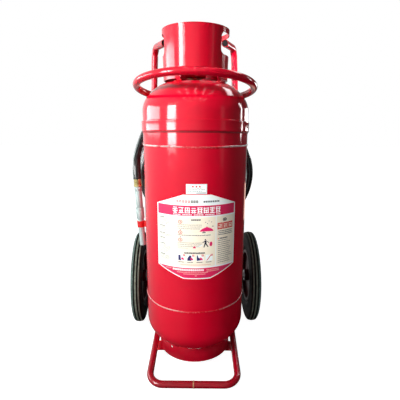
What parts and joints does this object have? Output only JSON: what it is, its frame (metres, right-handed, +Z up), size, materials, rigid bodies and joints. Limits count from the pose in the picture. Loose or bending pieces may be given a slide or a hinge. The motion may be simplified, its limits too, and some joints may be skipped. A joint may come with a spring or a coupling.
{
  "type": "wheeled fire extinguisher",
  "caption": "Wheeled dry-powder fire extinguisher: a steel tank on a tube frame with wheels, a ring handle, a shrouded valve, a coiled hose and a clipped spray gun.",
  "frame": {"origin": "on the floor, below the middle of the bounding box", "axes": "+Z up along the tank, +Y from the front of the tank towards the wheels and the coiled hose, +X to the right as seen from the front"},
  "size_m": [0.5372, 0.6739, 1.153],
  "materials": {
    "red_paint": "gloss red enamel over welded steel",
    "red_plastic": "gloss red plastic",
    "hose_rubber": "smooth black rubber",
    "tyre_rubber": "ribbed black rubber, a little dusty",
    "brass": "machined brass",
    "zinc_steel": "zinc-plated steel",
    "aluminium": "polished aluminium tube",
    "yellow_zinc": "yellow-zinc crimped steel",
    "label_print": "printed self-adhesive film",
    "black_plastic": "black moulded plastic",
    "gauge_glass": "clear gauge lens"
  },
  "bodies": {
    "tank_and_frame": {"tank_bottom_head": "red_paint", "tank_barrel": "red_paint", "tank_top_head": "red_paint", "neck_boss": "red_paint", "valve_collar": "red_paint", "foot_ring": "red_paint", "hoop_band": "red_paint", "hoop_lug_left": "red_paint", "hoop_lug_right": "red_paint", "foot_tube_left": "red_paint", "foot_tube_right": "red_paint", "frame_tube_left": "red_paint", "frame_tube_right": "red_paint", "ring_handle": "red_paint", "gusset_left": "red_paint", "gusset_right": "red_paint", "axle_bracket_left": "red_paint", "axle_bracket_right": "red_paint", "hose_hook_left": "red_paint", "hose_hook_right": "red_paint", "gun_clip": "red_plastic", "hose_lead": "hose_rubber", "hose_coil": "hose_rubber", "hose_tail": "hose_rubber", "valve_seal": "hose_rubber", "valve_body": "brass", "outlet_nut": "brass", "gauge_case": "brass", "dip_tube": "zinc_steel", "axle": "zinc_steel", "inner_washer_left": "zinc_steel", "inner_washer_right": "zinc_steel", "outer_washer_left": "zinc_steel", "outer_washer_right": "zinc_steel", "split_pin_left": "zinc_steel", "split_pin_right": "zinc_steel", "lever_pin": "zinc_steel", "gun_tube": "aluminium", "gun_coupling": "aluminium", "gun_nozzle": "aluminium", "gun_ferrule": "yellow_zinc", "hose_ferrule": "yellow_zinc", "front_label": "label_print", "inspection_sticker": "label_print", "gauge_dial": "label_print", "tube_plug_left": "black_plastic", "tube_plug_right": "black_plastic", "gauge_lens": "gauge_glass"},
    "wheel_left": {"tyre_left": "tyre_rubber", "rim_left": "red_paint", "hub_left": "red_paint", "bush_left": "black_plastic"},
    "wheel_right": {"tyre_right": "tyre_rubber", "rim_right": "red_paint", "hub_right": "red_paint", "bush_right": "black_plastic"},
    "lever": {"valve_lever": "zinc_steel"},
    "stem": {"valve_stem": "zinc_steel"},
    "safety_pin": {"safety_pin": "zinc_steel"},
    "needle": {"gauge_needle": "black_plastic"}
  },
  "joints": [
    {"name": "wheel_left_spin", "type": "hinge", "parent": "tank_and_frame", "child": "wheel_left", "pos_m": [-0.002, 0.1326, 0.196], "axis": [0.9995, 0.0332, 0], "continuous": true},
    {"name": "wheel_right_spin", "type": "hinge", "parent": "tank_and_frame", "child": "wheel_right", "pos_m": [-0.002, 0.1326, 0.196], "axis": [0.9995, 0.0332, 0], "continuous": true},
    {"name": "lever_hinge", "type": "hinge", "parent": "tank_and_frame", "child": "lever", "pos_m": [0, -0.1219, 1.106], "axis": [-1, 0, 0], "range_deg": [0, 90]},
    {"name": "stem_slide", "type": "slide", "parent": "tank_and_frame", "child": "stem", "axis": [0, 0, 1], "range_m": [-0.0041, 0]},
    {"name": "safety_pin_slide", "type": "slide", "parent": "tank_and_frame", "child": "safety_pin", "axis": [1, 0, 0], "range_m": [0, 0.045]},
    {"name": "gauge_needle_hinge", "type": "hinge", "parent": "tank_and_frame", "child": "needle", "pos_m": [0, -0.1699, 1.065], "axis": [0, -1, 0], "range_deg": [-110, 110], "stiffness_Nm_per_rad": 0.001}
  ],
  "couplings": [
    {"joint": "stem_slide", "follows": "lever_hinge", "m_per_rad": -0.0025465}
  ]
}
